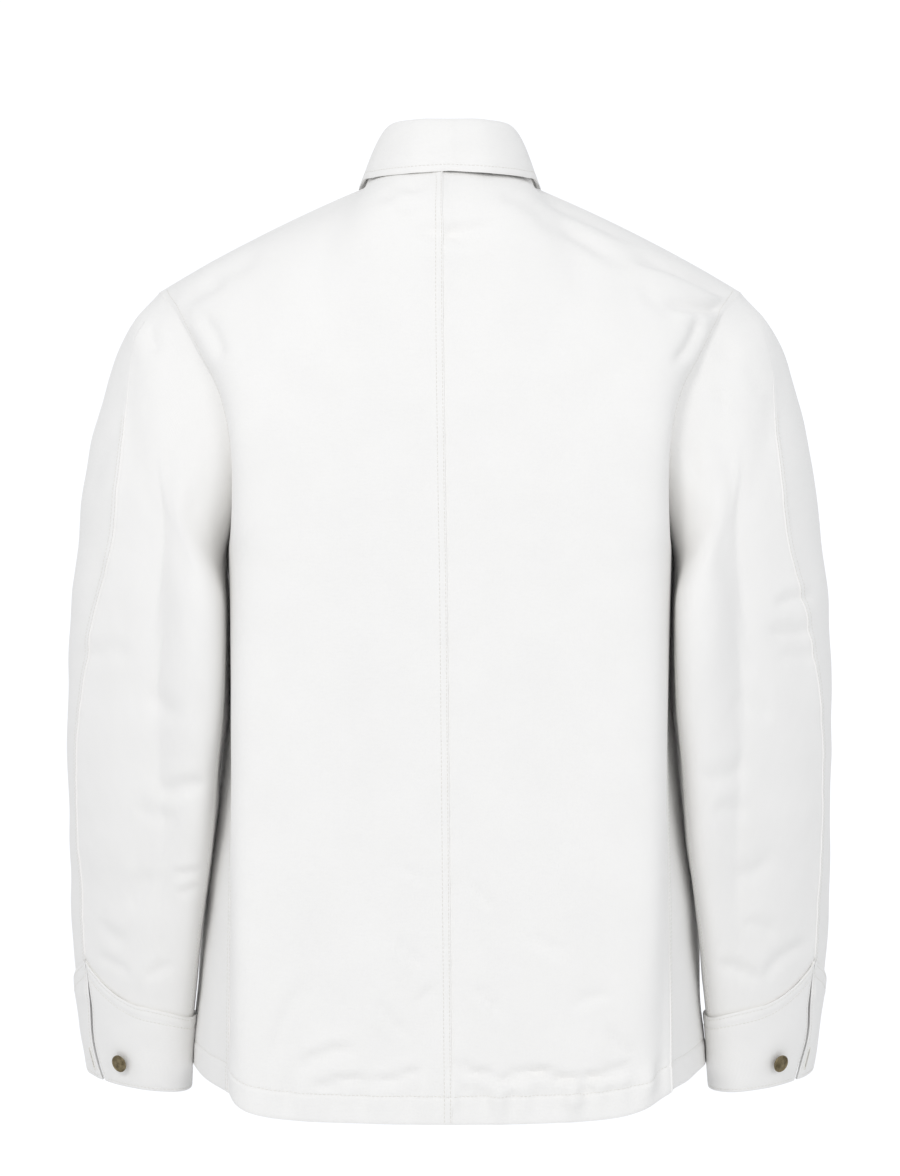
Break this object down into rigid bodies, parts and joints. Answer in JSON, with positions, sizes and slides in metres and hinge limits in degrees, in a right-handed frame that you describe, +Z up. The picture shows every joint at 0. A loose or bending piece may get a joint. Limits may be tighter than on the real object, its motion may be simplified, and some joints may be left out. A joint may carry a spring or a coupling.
{
  "type": "chore jacket",
  "caption": "Straight cotton canvas chore jacket with a fold-over collar, long sleeves with button cuffs, patch pockets and brass shank buttons, filled out as worn",
  "frame": {"origin": "middle of the neck opening, level with the tops of the shoulder seams", "axes": "+Z up along the jacket's length, the front faces -Y, the back faces +Y, the wearer's left is +X"},
  "size_m": [0.646, 0.2598, 0.8014],
  "materials": {
    "canvas": "off-white medium-weight cotton canvas, matt, softly creased",
    "button_metal": "antique brass, dull, with a lighter raised rim"
  },
  "bodies": {
    "root": {"back_left_high": "canvas", "back_left_low": "canvas", "back_right_high": "canvas", "back_right_low": "canvas", "front_left_high": "canvas", "front_left_low": "canvas", "front_right_high": "canvas", "front_right_low": "canvas", "sleeve_upper_left_high": "canvas", "sleeve_upper_left_low": "canvas", "sleeve_upper_right_high": "canvas", "sleeve_upper_right_low": "canvas", "sleeve_under_left_high": "canvas", "sleeve_under_left_low": "canvas", "sleeve_under_right_high": "canvas", "sleeve_under_right_low": "canvas", "cuff_left": "canvas", "cuff_right": "canvas", "collar_stand": "canvas", "collar_fall": "canvas", "pocket_hip_left": "canvas", "pocket_hip_right": "canvas", "pocket_chest_left": "canvas", "button_front_1": "button_metal", "button_front_2": "button_metal", "button_front_3": "button_metal", "button_front_4": "button_metal", "button_front_5": "button_metal", "button_cuff_left": "button_metal", "button_cuff_right": "button_metal"}
  },
  "joints": []
}
